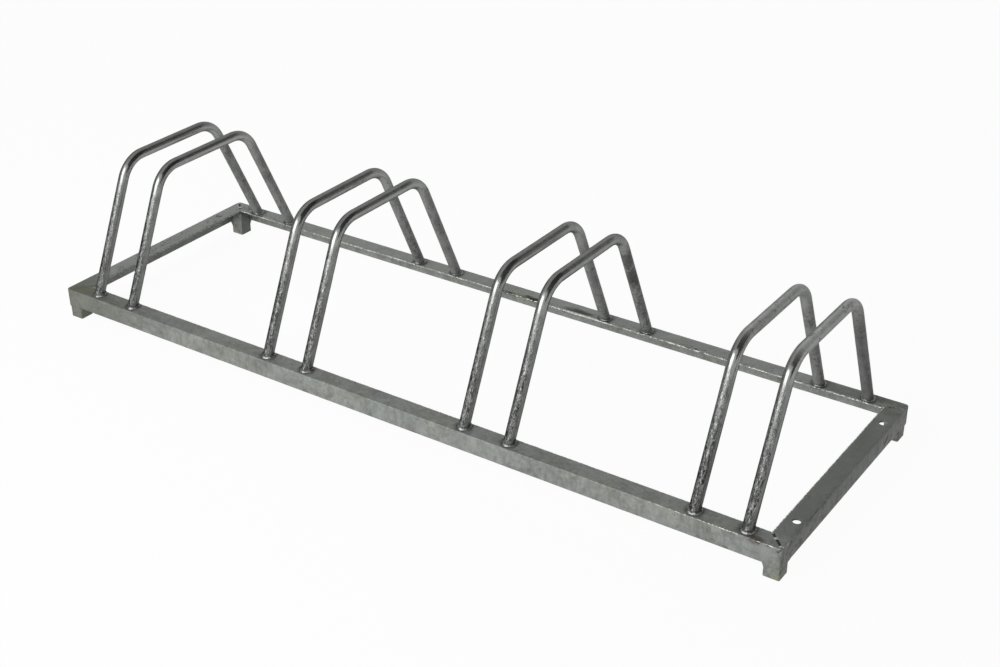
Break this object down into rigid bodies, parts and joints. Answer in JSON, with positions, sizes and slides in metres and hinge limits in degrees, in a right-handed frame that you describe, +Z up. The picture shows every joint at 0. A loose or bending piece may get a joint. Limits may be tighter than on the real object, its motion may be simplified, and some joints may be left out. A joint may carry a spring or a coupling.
{
  "type": "floor bike rack",
  "caption": "Low floor rack of galvanised steel: an angle-iron frame on short square feet, with pairs of bent tube hoops that each hold a bicycle's front wheel.",
  "frame": {"origin": "on the floor, under the middle of the frame", "axes": "+X along the rack from its left end to its right end, +Y from the front rail to the rear rail, +Z up"},
  "size_m": [1.3262, 0.431, 0.2706],
  "materials": {
    "angle_steel": "hot-dip galvanised angle, dull mottled zinc",
    "foot_tube": "hot-dip galvanised square tube, dull mottled zinc",
    "hoop_tube": "hot-dip galvanised round tube, semi-gloss streaked zinc",
    "weld_bead": "bright zinc over weld beads"
  },
  "bodies": {
    "root": {"front_rail": "angle_steel", "rear_rail": "angle_steel", "left_end_rail": "angle_steel", "right_end_rail": "angle_steel", "front_left_foot": "foot_tube", "front_right_foot": "foot_tube", "rear_left_foot": "foot_tube", "rear_right_foot": "foot_tube", "front_left_foot_weld": "weld_bead", "front_right_foot_weld": "weld_bead", "rear_left_foot_weld": "weld_bead", "rear_right_foot_weld": "weld_bead", "front_left_corner_weld": "weld_bead", "front_right_corner_weld": "weld_bead", "rear_left_corner_weld": "weld_bead", "rear_right_corner_weld": "weld_bead", "bay_1_left_hoop": "hoop_tube", "bay_1_right_hoop": "hoop_tube", "bay_2_left_hoop": "hoop_tube", "bay_2_right_hoop": "hoop_tube", "bay_3_left_hoop": "hoop_tube", "bay_3_right_hoop": "hoop_tube", "bay_4_left_hoop": "hoop_tube", "bay_4_right_hoop": "hoop_tube", "bay_1_left_hoop_welds": "weld_bead", "bay_1_right_hoop_welds": "weld_bead", "bay_2_left_hoop_welds": "weld_bead", "bay_2_right_hoop_welds": "weld_bead", "bay_3_left_hoop_welds": "weld_bead", "bay_3_right_hoop_welds": "weld_bead", "bay_4_left_hoop_welds": "weld_bead", "bay_4_right_hoop_welds": "weld_bead"}
  },
  "joints": []
}
